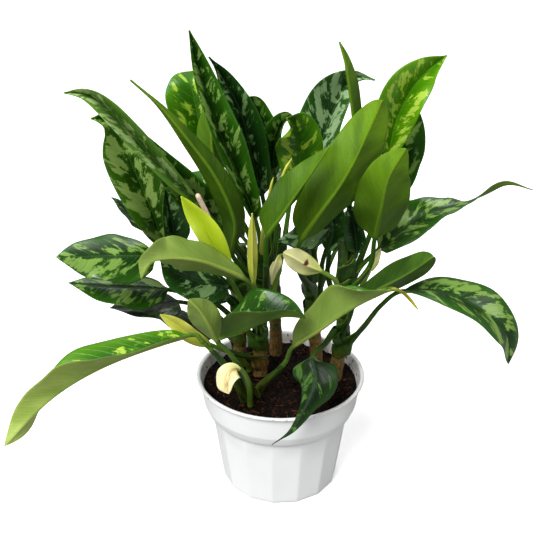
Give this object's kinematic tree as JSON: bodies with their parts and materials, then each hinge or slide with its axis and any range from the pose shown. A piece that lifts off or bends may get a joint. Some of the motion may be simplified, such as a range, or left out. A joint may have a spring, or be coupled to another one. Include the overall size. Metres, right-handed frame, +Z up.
{
  "type": "potted chinese evergreen",
  "caption": "Leafy house plant with long pointed variegated leaves on upright canes and pale flower spathes, in a round plastic pot filled with soil.",
  "frame": {"origin": "centre of the pot's flat base, on the surface it stands on", "axes": "+Z up along the pot's axis, the plant's front towards -Y, +X to the viewer's right"},
  "size_m": [0.4634, 0.325, 0.4642],
  "materials": {
    "pot_plastic": "satin white moulded plastic",
    "potting_soil": "dark damp potting soil with fibres",
    "cane": "green-brown cane with leaf scars",
    "leaf": "waxy dark green leaf with grey-green blotches and a paler underside",
    "spathe_lime": "soft lime-yellow spathe",
    "spathe": "soft cream spathe",
    "spadix": "cream-pink grainy spadix"
  },
  "bodies": {
    "root": {"pot": "pot_plastic", "soil": "potting_soil", "cane_center": "cane", "cane_left": "cane", "cane_mid_right": "cane", "cane_right": "cane", "cane_back": "cane", "leaf_spear": "leaf", "leaf_spear_back": "leaf", "leaf_blunt_top": "leaf", "leaf_s_curve": "leaf", "leaf_dark_wide": "leaf", "leaf_small_hook": "leaf", "leaf_dark_arch": "leaf", "leaf_blotched_bend": "leaf", "leaf_glossy_back": "leaf", "leaf_thin_tall": "leaf", "leaf_big_underside": "leaf", "leaf_folded_underside": "leaf", "leaf_right_underside": "leaf", "leaf_right_top": "leaf", "leaf_round_behind": "leaf", "leaf_far_right": "leaf", "leaf_bent_end": "leaf", "leaf_front_olive": "leaf", "leaf_right_drooping": "leaf", "leaf_hanging_front": "leaf", "leaf_front_center": "leaf", "leaf_front_left_underside": "leaf", "leaf_long_left": "leaf", "leaf_left_wide": "leaf", "leaf_left_low": "leaf", "leaf_left_dark": "leaf", "leaf_left_shadow": "leaf", "leaf_left_large": "leaf", "leaf_left_curled": "leaf", "leaf_arch_left": "leaf", "leaf_arch_behind": "leaf", "leaf_front_flat": "leaf", "leaf_small_upright": "leaf", "leaf_glossy_arch": "leaf", "leaf_inner_variegated": "leaf", "leaf_inner_glossy": "leaf", "leaf_inner_dark": "leaf", "leaf_right_inner": "leaf", "leaf_back_center": "leaf", "leaf_back_left": "leaf", "leaf_back_right": "leaf", "leaf_back_low_left": "leaf", "leaf_back_low_right": "leaf", "leaf_back_upright": "leaf", "spathe_lime": "spathe_lime", "spathe_closed": "spathe", "spathe_pointing_down": "spathe", "spathe_spotted": "spathe", "spathe_open_low": "spathe", "spathe_behind_long_left": "spathe", "spathe_small_right": "spathe", "spadix_lime": "spadix"}
  },
  "joints": []
}
